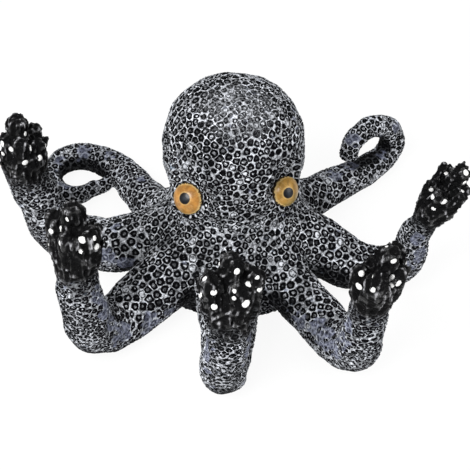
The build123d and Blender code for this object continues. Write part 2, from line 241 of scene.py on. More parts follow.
# Patterns of soft noise over the skin: the width of the waves, and the seed.
SIZE_WAVES = (0.016, 3)
TIP_EDGE_WAVES = ((0.0075, 21), (0.0030, 22))
WIPED_WAVES = ((0.0045, 31), (0.011, 32))
DAB_WAVES = (0.0030, 33)
CREST_WAVES = (0.016, 35)
GRIT_WAVES = (0.0015, 41)
LUMP_WAVES = (0.011, 42)

# How high the grit and the lumps of the cast stand.
GRIT_HEIGHT = 0.00008
LUMP_HEIGHT = 0.00030

# The folds of the tips: how far past the wrist and before it they lie, their width and the knobs',
# their seeds, how far they are drawn out along the arm, and the level that stays where it was.
FOLDS_REACH = 0.075
FOLDS_LEAD = 0.014
FOLD_WIDTH = 0.0050
KNOB_WIDTH = 0.0030
FOLD_SEED = 60
KNOB_SEED = 80
DRAWN_OUT = 0.72
FOLD_LEVEL = 0.45


def length_setting(name, description, default, **limits):
    return FloatProperty(name=name, description=description, default=default, subtype="DISTANCE",
                         unit="LENGTH", **limits)


def colour_setting(name, description, default):
    return FloatVectorProperty(name=name, description=description, default=default, subtype="COLOR", size=3)


def pair_setting(name, description, default):
    return FloatVectorProperty(name=name, description=description, default=default, size=2)


def plain_setting(name, description, default):
    return FloatProperty(name=name, description=description, default=default)


def count_setting(name, description, default):
    return IntProperty(name=name, description=description, default=default, min=0)


class SkinSizes(bpy.types.PropertyGroup):
    """Sizes of the cast skin and of the relief pressed into it."""

    grain: length_setting("Grain", "Side of the skin mesh's squares", 0.00092, min=0.0006)
    easing: count_setting("Easing", "Rounds of easing over the whole skin", 7)
    webbing: count_setting("Webbing", "Rounds that fill the creases between the arms", 64)
    mantle_cell: length_setting("Mantle cell", "Width of a rosette on the mantle", 0.0037)
    shoulder_cell: length_setting("Shoulder cell", "Width of a rosette where the arms begin", 0.0042)
    arm_cell: length_setting("Arm cell", "Width of a rosette along an arm", 0.0041)
    rising_cell: length_setting("Rising cell", "Width of a rosette where an arm turns up", 0.0038)
    forehead_cell: length_setting("Forehead cell", "Width of a rosette on the forehead", 0.0031)
    stretch: plain_setting("Stretch", "How much flatter the rosettes of a rising arm are", 0.7)
    net_height: length_setting("Net height", "Height of the net between rosettes", 0.00028)
    ring_depth: length_setting("Ring depth", "Depth of the groove round each centre", 0.00030)
    dot_height: length_setting("Dot height", "Height of the knob in each rosette", 0.00026)
    fold_height: length_setting("Fold height", "Height of the folds on the black tips", 0.00130)
    seed: count_setting("Seed", "Start of the rosettes' scatter", 11)


class SkinPaint(bpy.types.PropertyGroup):
    """Colours of the painted skin."""

    groove: colour_setting("Groove", "Base coat, left in the grooves", (0.0016, 0.0016, 0.002))
    body_coat: colour_setting("Body coat", "Charcoal that clings to the rough places",
                              (0.0075, 0.008, 0.0095))
    highlight: colour_setting("Highlight", "Dry brushing on the net and the knobs", (0.84, 0.87, 0.93))
    wiped: colour_setting("Wiped", "Blue-grey of the smooth patches", (0.19, 0.205, 0.285))
    dab: colour_setting("Dab", "Dabs of paint round the eyes", (0.30, 0.36, 0.44))
    tip: colour_setting("Tip", "Black of the arm tips", (0.0030, 0.0030, 0.0033))
    # Painted highlight: grey on the crests of the tips' folds. The same grey makes the paint flecks on the
    # tips.
    fold_highlight_and_fleck: colour_setting("Fold", "Grey that catches on the tips' folds", (0.34, 0.34, 0.36))
    sucker: colour_setting("Sucker", "White of the suckers", (0.80, 0.80, 0.79))


class SuckerSizes(bpy.types.PropertyGroup):
    """Sizes of the white suckers."""

    thickness: plain_setting("Thickness", "Height of a sucker as a share of its width", 0.20)
    unevenness: length_setting("Unevenness", "How far a sucker's edge wanders", 0.00045)
    seed: count_setting("Seed", "Start of the suckers' unevenness", 5)


class EyeLook(bpy.types.PropertyGroup):
    """Colours and proportions of the domed eyes."""

    pupil_share: plain_setting("Pupil", "Pupil's radius as a share of the eye's", 0.36)
    ring_share: plain_setting("Ring", "Pale ring's radius as a share of the eye's", 0.48)
    left_gaze: pair_setting("Left gaze", "Left pupil's place across and up, in eye widths", (0.01, 0.06))
    right_gaze: pair_setting("Right gaze", "Right pupil's place across and up, in eye widths", (-0.09, 0.02))
    amber: colour_setting("Amber", "Iris of the eye on the left", (0.44, 0.20, 0.042))
    ochre: colour_setting("Ochre", "Iris of the eye on the right", (0.34, 0.185, 0.036))
    pale: colour_setting("Pale", "Pale yellow at the rim and round the pupil", (0.62, 0.45, 0.19))
    olive: colour_setting("Olive", "Olive tint low on the iris", (0.20, 0.16, 0.03))


class StageSetup(bpy.types.PropertyGroup):
    """Camera, lamps and floor."""

    azimuth: plain_setting("Azimuth", "Camera's turn round the object, in degrees", 5.7)
    elevation: plain_setting("Elevation", "Camera's height in degrees", 45.0)
    distance: length_setting("Distance", "Camera's distance from what it looks at", 0.8)
    target: FloatVectorProperty(name="Target", description="What the camera looks at",
                                default=(0.0031, -0.018, 0.048), subtype="XYZ", size=3)
    lens: plain_setting("Lens", "Focal length in millimetres on a 36 mm sensor", 115.2)
    shift: pair_setting("Shift", "Lens shift that frames the object", (-0.0021, -0.0277))
    key_power: plain_setting("Key", "Power of the large lamp over the front", 16.0)
    fill_power: plain_setting("Fill", "Power of the side lamps", 4.0)
    sky: plain_setting("Sky", "Strength of the plain light all round", 0.42)


def smooth(value, low, high):
    """Nought below low, one above high, and eased in between."""
    t = np.clip((value - low) / (high - low), 0.0, 1.0)
    return t * t * (3.0 - 2.0 * t)


def mixed(first, second, share):
    """This share of the way from the first value to the second."""
    return first + (second - first) * share


def waves(points, width, seed, count=14):
    """Soft noise about nought, of roughly this width, the same on every run."""
    rng = np.random.default_rng(seed)
    directions = rng.normal(size=(count, 3))
    directions /= np.linalg.norm(directions, axis=1)[:, None]
    rates = 2 * math.pi / (width * rng.uniform(0.7, 1.5, count))
    phases = rng.uniform(0, 2 * math.pi, count)
    return np.sin(points @ (directions * rates[:, None]).T + phases).sum(1) / math.sqrt(count)


def near_to(points, place, radius):
    """One at a place, easing to nought past the radius."""
    gap = np.linalg.norm(points - np.array(place) * MM, axis=1)
    solid, end = SPOT_SHARES
    return 1.0 - smooth(gap, solid * radius * MM, end * radius * MM)


def near_any(points, spots):
    """One at the nearest of a table's places, easing to nought past its radius."""
    found = np.zeros(len(points))
    for x, y, z, radius in spots:
        found = np.maximum(found, near_to(points, (x, y, z), radius))
    return found


def islands(bm):
    """The separate shells of a mesh, as lists of vertices."""
    bm.verts.ensure_lookup_table()
    seen = set()
    found = []
    for start in bm.verts:
        if start.index in seen:
            continue
        seen.add(start.index)
        stack = [start]
        shell = []
        while stack:
            vert = stack.pop()
            shell.append(vert)
            for edge in vert.link_edges:
                other = edge.other_vert(vert)
                if other.index not in seen:
                    seen.add(other.index)
                    stack.append(other)
        found.append(shell)
    return found


def merged_copy(*names):
    """A mesh of CAD nodes with its loose triangles joined up."""
    bm = bmesh.new()
    for name in names:
        bm.from_mesh(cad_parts[name].data)
    bmesh.ops.remove_doubles(bm, verts=bm.verts, dist=1e-6)
    bm.verts.index_update()
    return bm


def places_of(verts):
    return np.array([vert.co for vert in verts], float)


def pin_planes(node):
    """The planes that a node's pins cross: each pin's middle and its direction."""
    bm = merged_copy(node)
    planes = []
    for shell in islands(bm):
        points = places_of(shell)
        middle = points.mean(0)
        axis = np.linalg.svd(points - middle, full_matrices=False)[2][0]
        along = (points - middle) @ axis
        middle = middle + axis * (along.min() + along.max()) / 2
        outwards = np.array((middle[0], middle[1], 0.0))
        lead = axis[2] if abs(axis[2]) > STEEP else axis @ outwards
        planes.append((middle, axis if lead > 0 else -axis))
    bm.free()
    return planes


def joint_face(plane, points):
    """Which points lie on a glued joint's face, and how far they reach from its pin."""
    middle, axis = plane
    away = points - middle
    reach = np.linalg.norm(away, axis=1)
    flat = (abs(away @ axis) < TOUCHING) & (reach < JOINT_REACH)
    return flat, reach[flat].max()


def new_object(name, mesh):
    obj = bpy.data.objects.new(name, mesh)
    bpy.context.scene.collection.objects.link(obj)
    return obj


def finished(obj, nodes=()):
    """Attach a piece to the root body, and hide the CAD nodes that it stands in for."""
    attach(obj, "root")
    if nodes:
        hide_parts(*nodes)
    return obj


def evaluated_mesh(obj):
    graph = bpy.context.evaluated_depsgraph_get()
    return bpy.data.meshes.new_from_object(obj.evaluated_get(graph))


def read(items, field, width, kind=np.float32):
    """One field of a mesh's items, a row for each."""
    flat = np.empty(len(items) * width, kind)
    items.foreach_get(field, flat)
    return flat.reshape(-1, width)


def read_points(mesh):
    return read(mesh.vertices, "co", 3).astype(float)


def read_normals(mesh):
    return read(mesh.vertex_normals, "vector", 3).astype(float)


def write_points(mesh, points):
    mesh.vertices.foreach_set("co", points.astype(np.float32).ravel())
    mesh.update()


def write_field(mesh, name, values, domain="POINT"):
    """Store a number or a vector for each point or face."""
    is_vector = values.ndim == 2
    field = mesh.attributes.new(name, "FLOAT_VECTOR" if is_vector else "FLOAT", domain)
    field.data.foreach_set("vector" if is_vector else "value", values.astype(np.float32).ravel())


def towards_neighbours(points, edges):
    """From each point to the middle of its neighbours."""
    first, second = edges[:, 0], edges[:, 1]
    count = len(points)
    shares = np.bincount(first, minlength=count) + np.bincount(second, minlength=count)
    middles = np.stack([np.bincount(first, points[second, k], count)
                        + np.bincount(second, points[first, k], count) for k in range(3)], 1)
    return middles / shares[:, None] - points


def eased(points, edges, weights, rounds):
    """Ease the skin without thinning it: each step in is followed by one out."""
    for _ in range(rounds):
        for step in EASING_STEPS:
            points = points + (weights * step)[:, None] * towards_neighbours(points, edges)
    return points


def webbed(mesh, points, edges, weights, rounds):
    """Fill the hollow creases between the arms, and leave what is round as it is."""
    for number in range(rounds):
        if number % NORMALS_EVERY == 0:
            write_points(mesh, points)
            normals = read_normals(mesh)
        rise = (towards_neighbours(points, edges) * normals).sum(1)
        points = points + (weights * np.clip(rise, 0, None))[:, None] * normals
    return points


@lru_cache(maxsize=None)
def eye_seat(name):
    """An eye's middle, the way it looks, its radius and its rim's height, from its flat back."""
    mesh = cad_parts[name].data
    alike = {}
    for face in mesh.polygons:
        key = tuple(round(value, 2) for value in face.normal)
        alike.setdefault(key, []).append(face)
    backs = max(alike.values(), key=lambda faces: sum(face.area for face in faces))
    normal = -sum((face.normal * face.area for face in backs), Vector()).normalized()
    rim_points = [mesh.vertices[index].co for face in backs for index in face.vertices]
    low = Vector(map(min, zip(*rim_points)))
    high = Vector(map(max, zip(*rim_points)))
    middle = (low + high) / 2
    radius = max((point - middle).length for point in rim_points)
    heights = []
    for vert in mesh.vertices:
        away = vert.co - middle
        height = away.dot(normal)
        if abs((away - normal * height).length - radius) < TOUCHING:
            heights.append(height)
    return middle, normal, radius, max(heights)


def clear_of_eyes(points):
    """Press the skin back round each eye, so that the eye stands out like a button."""
    for name in EYES:
        middle, axis, radius, rim = eye_seat(name)
        away = points - np.array(middle)
        along = away @ np.array(axis)
        side = np.linalg.norm(away - along[:, None] * np.array(axis), axis=1)
        past = np.clip(side - radius * CEILING_START, 0, None)
        ceiling = CEILING * rim + past * (CEILING_SLOPE + CEILING_CURVE * past)
        around = (side < CLEARING_REACH * radius) & (along > -radius) & (along < CLEARING_HEIGHT * radius)
        over = np.where(around, np.clip(along - ceiling, 0, None), 0)
        points = points - over[:, None] * np.array(axis)
    return points


def outer_shell(mesh):
    """Only the largest shell: the cavity and the pin holes are shut inside the piece."""
    bm = bmesh.new()
    bm.from_mesh(mesh)
    bm.verts.index_update()
    shells = sorted(islands(bm), key=len)
    for shell in shells[:-1]:
        bmesh.ops.delete(bm, geom=shell, context="VERTS")
    bm.to_mesh(mesh)
    bm.free()
    return mesh


def add_cone(bm, place, depth, radii, segments):
    bmesh.ops.create_cone(bm, cap_ends=True, segments=segments, radius1=radii[0], radius2=radii[1],
                          depth=depth, matrix=place)


def add_fillets(bm):
    """The lengths that carry the back left coil's end up to its arm, with balls at their ends."""
    for start, end, first, second in FILLETS:
        start, end = Vector(start) * MM, Vector(end) * MM
        lead = end - start
        turn = lead.to_track_quat("Z", "Y").to_matrix().to_4x4()
        middle = Matrix.Translation((start + end) / 2)
        add_cone(bm, middle @ turn, lead.length, (first * MM, second * MM), 24)
        for place, radius in ((start, first), (end, second)):
            bmesh.ops.create_icosphere(bm, subdivisions=3, radius=radius * MM,
                                       matrix=Matrix.Translation(place))


def add_fingers(bm, wrists):
    """Small pointed fingers, sunk into the tips so that they fuse with them."""
    for node, ends in FINGERS.items():
        low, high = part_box(node)
        middle = np.array((Vector(low) + Vector(high)) / 2)
        axis = min(wrists, key=lambda plane: np.linalg.norm(plane[0] - middle))[1]
        for number, end in enumerate(ends):
            away = np.array(end) * MM - middle
            away = away - (away @ axis) * axis
            lead = Vector(axis + FINGER_SPREAD * away / max(np.linalg.norm(away), 1e-6)).normalized()
            long = FINGER_LENGTH - FINGER_SHORTER * (number % 3)
            turn = Vector((0, 0, 1)).rotation_difference(lead).to_matrix().to_4x4()
            place = Matrix.Translation(Vector(end) * MM + lead * (FINGER_PAST_END - long / 2))
            add_cone(bm, place @ turn, long, FINGER_RADII, 12)


def cast_skin(sizes, planes, wrists):
    """The cast pieces as one even mesh, without the faces inside the glue joints, and the joints' radii."""
    bm = merged_copy(*CAST_NODES)
    points = places_of(bm.verts)
    joints = [joint_face(plane, points) for plane in planes]
    inside = []
    for face in bm.faces:
        numbers = [vert.index for vert in face.verts]
        if any(flat[numbers].all() for flat, radius in joints):
            inside.append(face)
    bmesh.ops.delete(bm, geom=inside, context="FACES")
    add_fillets(bm)
    add_fingers(bm, wrists)
    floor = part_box("base_plate")[0].z
    stopper = Matrix.Translation((0, 0, floor + STOPPER_DEPTH / 2))
    add_cone(bm, stopper, STOPPER_DEPTH, (STOPPER_RADIUS, STOPPER_RADIUS), 64)
    mesh = bpy.data.meshes.new("skin_rough")
    bm.to_mesh(mesh)
    bm.free()
    rough = new_object("skin_rough", mesh)
    remesh = rough.modifiers.new("Even", "REMESH")
    remesh.mode = "VOXEL"
    remesh.voxel_size = sizes.grain * 1.0
    even = outer_shell(evaluated_mesh(rough))
    bpy.data.objects.remove(rough)
    return even, [radius for flat, radius in joints]


def beyond_wrists(points, wrists):
    """How far each point is past the nearest wrist, towards the tip's end."""
    past = np.full(len(points), -1.0)
    for middle, axis in wrists:
        away = points - middle
        along = away @ axis
        side = np.linalg.norm(away - along[:, None] * axis, axis=1)
        here = (side < TIP_REACH) & (along > -TIP_LEAD)
        past[here] = np.maximum(past[here], along[here])
    return past


def cell_sizes(sizes, points):
    """How wide the rosettes are at each point, and how far the arm there has turned up."""
    reach = np.hypot(points[:, 0], points[:, 1])
    height = points[:, 2]
    rising = smooth(reach, *HEELS_START) * smooth(height, *HEELS_RISE)
    rising = np.maximum(rising, smooth(reach, *WRISTS_START) * 0.85)
    back = smooth(points[:, 1], *BACK_STARTS)
    rising = rising * (1 - back)
    shoulder = smooth(reach, *SHOULDERS_START) * (1 - smooth(height, *MANTLE_STARTS))
    width = mixed(sizes.mantle_cell, sizes.shoulder_cell, shoulder)
    width = mixed(width, sizes.arm_cell, smooth(reach, *ARMS_START))
    width = mixed(width, sizes.rising_cell, rising)
    width = mixed(width, sizes.arm_cell * 0.86, back * smooth(reach, *CURLS_START))
    width = mixed(width, sizes.forehead_cell, near_to(points, FOREHEAD, FOREHEAD_RADIUS))
    return width * (1 + 0.13 * waves(points, *SIZE_WAVES)), rising


def scattered(points, widths, seed):
    """Rosette centres on the skin, none closer to another than its own width allows."""
    rng = np.random.default_rng(seed)
    order = rng.permutation(len(points))[:CENTRE_TRIES]
    pitch = float(widths.max())
    grid = {}
    chosen = []
    spots = points.tolist()
    bins = np.floor(points / pitch).astype(int).tolist()
    wide = (widths * CENTRE_SPACING).tolist()
    steps = [(i, j, k) for i in (-1, 0, 1) for j in (-1, 0, 1) for k in (-1, 0, 1)]
    for index in order.tolist():
        x, y, z = spots[index]
        bx, by, bz = bins[index]
        room = wide[index] ** 2
        free = True
        for i, j, k in steps:
            for px, py, pz in grid.get((bx + i, by + j, bz + k), ()):
                if (px - x) ** 2 + (py - y) ** 2 + (pz - z) ** 2 < room:
                    free = False
                    break
            if not free:
                break
        if free:
            grid.setdefault((bx, by, bz), []).append((x, y, z))
            chosen.append(index)
    return np.array(chosen)


def nearest(points, centres, count):
    """Each point's nearest centres: their numbers and how far they are."""
    tree = KDTree(len(centres))
    for index, centre in enumerate(centres):
        tree.insert(centre, index)
    tree.balance()
    numbers = np.empty((len(points), count), int)
    gaps = np.empty((len(points), count))
    for index, point in enumerate(points.tolist()):
        found = tree.find_n(point, count)
        numbers[index] = [item[1] for item in found]
        gaps[index] = [item[2] for item in found]
    return numbers, gaps


def rosette_centres(laid, widths, seed):
    """Spread the rosettes evenly over the skin."""
    chosen = scattered(laid, widths, seed)
    centres = laid[chosen]
    some = laid[::3]
    for _ in range(SPREADING_ROUNDS):
        owner = nearest(some, centres, 1)[0][:, 0]
        totals = np.stack([np.bincount(owner, some[:, k], len(centres)) for k in range(3)], 1)
        counts = np.bincount(owner, minlength=len(centres))
        middles = np.where(counts[:, None] > 0, totals / np.maximum(counts, 1)[:, None], centres)
        centres = mixed(centres, middles, SPREADING_SHARE)
    return centres


def laid_out(points, rising, stretch):
    """The skin's points with the rising arms drawn out upwards, where rosettes are flatter."""
    laid = points.copy()
    laid[:, 2] *= 1 + stretch * rising
    return laid


def tip_folds(points, wrists):
    """Rough upright folds of the black tips."""
    folds = np.zeros(len(points))
    for number, (middle, axis) in enumerate(wrists):
        away = points - middle
        along = away @ axis
        near = (np.linalg.norm(away, axis=1) < FOLDS_REACH) & (along > -FOLDS_LEAD)
        squeezed = away[near] - along[near][:, None] * axis * DRAWN_OUT
        ridge = 1 - 1.3 * abs(waves(squeezed, FOLD_WIDTH, FOLD_SEED + number))
        knobs = waves(away[near], KNOB_WIDTH, KNOB_SEED + number)
        folds[near] = 0.80 * np.clip(ridge, -0.6, 1.0) + 0.30 * knobs
    return folds


def tip_paint(points, normals, wrists, past):
    """Where the tips are black, and where the dry brushing fades towards them."""
    wander = 0.0022 * waves(points, *TIP_EDGE_WAVES[0]) + 0.0012 * waves(points, *TIP_EDGE_WAVES[1])
    front = np.array(wrists[np.argmin([middle[1] for middle, axis in wrists])][0])
    sideways = abs(points[:, 0] - front[0] - 0.0015)
    near_front = np.linalg.norm(points - front, axis=1) < 0.035
    at_front = near_front * smooth(-normals[:, 1], -0.2, 0.4)
    edge = 0.001 + at_front * (0.002 + 0.010 * smooth(sideways, 0.006, 0.014))
    black = smooth(past + wander, edge - 0.0035, edge + 0.0035)
    fade = smooth(past + wander, edge - 0.016, edge + 0.002)
    return black, fade


def wiped_and_highlit_places(points, normals):
    """Where the relief was wiped: the patches, and more lightly the crests of the arms, paler partly from
    dry brushing and partly as painted highlight.
    """
    small, large = (waves(points, *pattern) for pattern in WIPED_WAVES)
    wiped = smooth(near_any(points, WIPED) + 0.34 * small + 0.22 * large, 0.25, 0.95)
    reach = np.hypot(points[:, 0], points[:, 1])
    upwards = normals[:, 2]
    # Painted highlight in part: the faces of the crests that look up are paler, partly from the dry
    # brushing.
    at_back = smooth(points[:, 1], *BACK_CRESTS_LIE) * smooth(reach, *BACK_CRESTS_START)
    all_round = smooth(reach, *CRESTS_START) * smooth(upwards, 0.65, 1.0) * 0.35
    brushed_and_highlit_crest = np.maximum(at_back * smooth(upwards, 0.15, 0.75), all_round)
    return np.maximum(wiped, 0.55 * brushed_and_highlit_crest * smooth(waves(points, *CREST_WAVES), -0.6, 0.8))


def unbrushed_and_shaded_places(points, normals):
    """Where the dry brushing is left off: undersides and the insides of the curls, partly unbrushed and
    partly painted shade, and painted shade in the deep webs.
    """
    under = np.maximum(smooth(-normals[:, 2], 0.10, 0.75), near_any(points, PAINTED_SHADE_SPOTS))
    for x, y, z, radius in CURLS:
        away = points - np.array((x, y, z)) * MM
        gap = np.linalg.norm(away, axis=1)
        facing = -(away * normals).sum(1) / np.maximum(gap, 1e-6)
        inner = smooth(facing, 0.30, 0.75) * (1 - smooth(gap, 0.75 * radius * MM, radius * MM))
        under = np.maximum(under, inner)
    return under


def filled_cells(points, numbers):
    """One in the rosettes that are pale and flat all over."""
    pale = np.zeros(len(points))
    for place in FILLED:
        index = np.linalg.norm(points - np.array(place) * MM, axis=1).argmin()
        pale[numbers[:, 0] == numbers[index, 0]] = 1.0
    return pale


def relief_depth(points, fields):
    """How deep the rosettes are: shallow where wiped, dark or plain, and none by the eyes."""
    depth = ((1 - 0.85 * smooth(fields["wiped"], 0.6, 1.0)) * (1 - 0.60 * fields["under"])
             * (1 - fields["black"]) * (1 - 0.5 * fields["soft"]) * (1 - 0.3 * fields["fade"]))
    for name in EYES:
        middle, _, radius, _ = eye_seat(name)
        gap = np.linalg.norm(points - np.array(middle), axis=1)
        depth = depth * smooth(gap, radius * RELIEF_BY_EYES[0], radius * RELIEF_BY_EYES[1])
    return depth


def shaped_skin(mesh, sizes, wrists):
    """Ease the skin, web the creases and clear the eyes. Gives the points and how deep each was filled."""
    points = read_points(mesh)
    edges = read(mesh.edges, "vertices", 2, np.int32)
    hold = 1 - 0.88 * smooth(beyond_wrists(points, wrists), -0.004, 0.006)
    reach = np.hypot(points[:, 0], points[:, 1])
    points = eased(points, edges, hold, sizes.easing)
    low_down = 1 - smooth(points[:, 2], *MANTLE_STARTS)
    roots = smooth(reach, *ROOTS_START) * (1 - smooth(reach, *ROOTS_END)) * low_down
    rounds = sizes.webbing
    before = points
    points = webbed(mesh, points, edges, 0.9 * roots, rounds)
    # How deep each crease between the arms was filled, later painted as shade.
    crease_shade = smooth(np.linalg.norm(points - before, axis=1), 0.0001, 0.0016)
    points = clear_of_eyes(eased(points, edges, hold, sizes.easing // 3))
    write_points(mesh, points)
    return points, crease_shade


def store_cells(mesh, centres, rising, stretch):
    """Store the nearest rosette centres on each face, for the paint to measure from."""
    middles = read(mesh.polygons, "center", 3).astype(float)
    corner = read(mesh.loops, "vertex_index", 1, np.int32)[:, 0]
    starts = read(mesh.polygons, "loop_start", 1, np.int32)[:, 0]
    middles = laid_out(middles, rising[corner[starts]], stretch)
    numbers = nearest(middles, centres, len(CELLS))[0]
    for column, name in enumerate(CELLS):
        write_field(mesh, name, centres[numbers[:, column]], "FACE")


def dressed_skin(mesh, sizes, wrists):
    """Press the relief into the skin and store what the paint reads."""
    points, crease_shade = shaped_skin(mesh, sizes, wrists)
    normals = read_normals(mesh)
    widths, rising = cell_sizes(sizes, points)
    laid = laid_out(points, rising, sizes.stretch)
    centres = rosette_centres(laid, widths, sizes.seed)
    numbers, gaps = nearest(laid, centres, 2)
    past = beyond_wrists(points, wrists)
    black, fade = tip_paint(points, normals, wrists, past)
    dabs = smooth(near_any(points, DABS) + 0.30 * waves(points, *DAB_WAVES), 0.45, 1.0)
    fields = {
        "width": widths,
        "rising": rising,
        "pale": filled_cells(points, numbers),
        "black": black,
        "fade": fade,
        # The wiped patches, and the crests of the arms, paler partly from dry brushing and partly as painted
        # highlight.
        "wiped": wiped_and_highlit_places(points, normals),
        "dab": dabs,
        # Painted shade in the filled creases and deep webs, with the undersides that the brush partly
        # missed.
        "under": np.maximum(unbrushed_and_shaded_places(points, normals), 0.85 * crease_shade),
        "folds": tip_folds(points, wrists),
        "soft": near_to(points, FOREHEAD, FOREHEAD_RADIUS * 1.2),
    }
    net = 1 - smooth((gaps[:, 1] - gaps[:, 0]) / widths, 0.10, 0.30)
    knob = 1 - smooth(gaps[:, 0] / widths, 0.16, 0.28)
    ring = (1 - net) * (1 - knob) * (1 - fields["pale"])
    relief = (sizes.net_height * net + sizes.dot_height * np.maximum(knob, fields["pale"])
              - sizes.ring_depth * ring) * relief_depth(points, fields)
    relief += GRIT_HEIGHT * waves(points, *GRIT_WAVES) * (1 - 0.6 * black)
    relief += LUMP_HEIGHT * waves(points, *LUMP_WAVES)
    relief += sizes.fold_height * (fields["folds"] - FOLD_LEVEL) * smooth(past, -0.004, 0.008)
    for name, values in fields.items():
        write_field(mesh, name, values)
    store_cells(mesh, centres, rising, sizes.stretch)
    points = points + normals * (relief + SKIN_LIFT)[:, None]
    points[:, 2] = np.maximum(points[:, 2], TABLE_GAP)
    write_points(mesh, points)


def cut_apart(mesh, planes, radii):
    """Cut the skin at its glued joints. The pieces come back as closed shells of one mesh."""
    bm = bmesh.new()
    bm.from_mesh(mesh)
    bm.verts.ensure_lookup_table()
    points = read_points(mesh)
    groups = []
    for (middle, axis), radius in zip(planes, radii):
        away = points - middle
        near = (abs(away @ axis) < CUT_DEPTH) & (np.linalg.norm(away, axis=1) < radius + CUT_MARGIN)
        groups.append([bm.verts[index] for index in np.nonzero(near)[0].tolist()])
    cuts = []
    for (middle, axis), verts in zip(planes, groups):
        faces = {face for vert in verts for face in vert.link_faces}
        edges = {edge for face in faces for edge in face.edges}
        verts = {vert for face in faces for vert in face.verts}
        geom = list(verts) + list(edges) + list(faces)
        cut = bmesh.ops.bisect_plane(bm, geom=geom, dist=1e-7, plane_co=middle, plane_no=axis)
        cuts.append([item for item in cut["geom_cut"] if isinstance(item, bmesh.types.BMEdge)])
    for edges in cuts:
        bmesh.ops.split_edges(bm, edges=edges)
    bm.verts.index_update()
    open_edges = [edge for edge in bm.edges if edge.is_boundary]
    caps = bmesh.ops.holes_fill(bm, edges=open_edges, sides=0)["faces"]
    for face in caps:
        for edge in face.edges:
            edge.smooth = False
    bmesh.ops.triangulate(bm, faces=caps)
    return bm


def split_out(bm, shell):
    """One shell of a mesh as a mesh of its own, with the stored fields."""
    bm.verts.index_update()
    kept = {vert.index for vert in shell}
    piece = bm.copy()
    gone = [vert for vert in piece.verts if vert.index not in kept]
    bmesh.ops.delete(piece, geom=gone, context="VERTS")
    return piece


def nearest_node(shell, trees):
    """The CAD node that a shell of the skin lies on."""
    sample = shell[::max(1, len(shell) // 60)]
    gaps = {name: sum(tree.find_nearest(vert.co)[3] for vert in sample) for name, tree in trees.items()}
    return min(gaps, key=gaps.get)


class Nodes:
    """Short ways to add nodes to a tree and join them up."""

    def __init__(self, tree):
        self.tree = tree

    def put(self, value, socket):
        """Link an output to the socket, or set the socket's own value."""
        if isinstance(value, bpy.types.NodeSocket):
            self.tree.links.new(value, socket)
        else:
            socket.default_value = value

    def add(self, kind, inputs=None, **settings):
        """A new node with these settings. Its inputs are given by name or number."""
        node = self.tree.nodes.new(kind)
        for name, value in settings.items():
            setattr(node, name, value)
        for name, value in (inputs or {}).items():
            if value is not None:
                self.put(value, node.inputs[name])
        return node

    def field(self, name, output="Fac"):
        return self.add("ShaderNodeAttribute", attribute_name=name).outputs[output]

    def vector(self, operation, first, second=None, scale=None, output=0):
        inputs = {0: first, 1: second, "Scale": scale}
        return self.add("ShaderNodeVectorMath", inputs, operation=operation).outputs[output]

    def math(self, operation, first, second=0.0, clamp=False):
        node = self.add("ShaderNodeMath", {0: first, 1: second}, operation=operation, use_clamp=clamp)
        return node.outputs[0]

    def each(self, operation, values):
        """The operation on the first two values, then on that and the third, and so on."""
        result = values[0]
        for value in values[1:]:
            result = self.math(operation, result, value)
        return result

    def times(self, *values):
        return self.each("MULTIPLY", values)

    def plus(self, *values):
        return self.each("ADD", values)

    def minus(self, *values):
        return self.each("SUBTRACT", values)

    def most(self, *values):
        return self.each("MAXIMUM", values)

    def least(self, *values):
        return self.each("MINIMUM", values)

    def ramp(self, value, low, high, out_low=0.0, out_high=1.0):
        """From one value to another, eased, as the input goes from low to high."""
        inputs = {"Value": value, "From Min": low, "From Max": high, "To Min": out_low, "To Max": out_high}
        return self.add("ShaderNodeMapRange", inputs, interpolation_type="SMOOTHSTEP").outputs["Result"]

    def blend(self, share, first, second):
        """This share of the way from the first colour to the second."""
        first, second = (value if isinstance(value, bpy.types.NodeSocket) else (*value, 1.0)
                         for value in (first, second))
        return self.add("ShaderNodeMix", {0: share, 6: first, 7: second}, data_type="RGBA").outputs[2]

    def noise(self, scale, detail=3.0, vector=None, roughness=0.55):
        inputs = {"Scale": scale, "Detail": detail, "Roughness": roughness, "Vector": vector}
        return self.add("ShaderNodeTexNoise", inputs).outputs["Fac"]

    def wander(self, scale, detail, reach, where=None):
        """An offset that wanders about nought."""
        noise = self.add("ShaderNodeTexNoise", {"Vector": where, "Scale": scale, "Detail": detail})
        centred = self.vector("SUBTRACT", noise.outputs["Color"], (0.5, 0.5, 0.5))
        return self.vector("SCALE", centred, scale=reach)

    def place(self, scale=(1.0, 1.0, 1.0)):
        """Object coordinates, scaled."""
        where = self.add("ShaderNodeTexCoord").outputs["Object"]
        return self.add("ShaderNodeMapping", {"Vector": where, "Scale": Vector(scale)}).outputs["Vector"]

    def bump(self, height, distance, strength=1.0, below=None):
        inputs = {"Height": height, "Distance": distance, "Strength": strength, "Normal": below}
        return self.add("ShaderNodeBump", inputs).outputs["Normal"]


def new_material(name):
    """An empty material with a principled shader, and the helper to fill it."""
    material = bpy.data.materials.new(name)
    material.use_nodes = True
    tree = material.node_tree
    shader = next(node for node in tree.nodes if node.type == "BSDF_PRINCIPLED")
    return material, Nodes(tree), shader


def dressed_shader(make, shader, inputs):
    """Fill the principled shader's inputs, given by name."""
    for name, value in inputs.items():
        make.put(value, shader.inputs[name])


def scaled(colour, share):
    """A colour made darker or lighter, and no lighter than white."""
    return tuple(min(1.0, share * value) for value in colour)


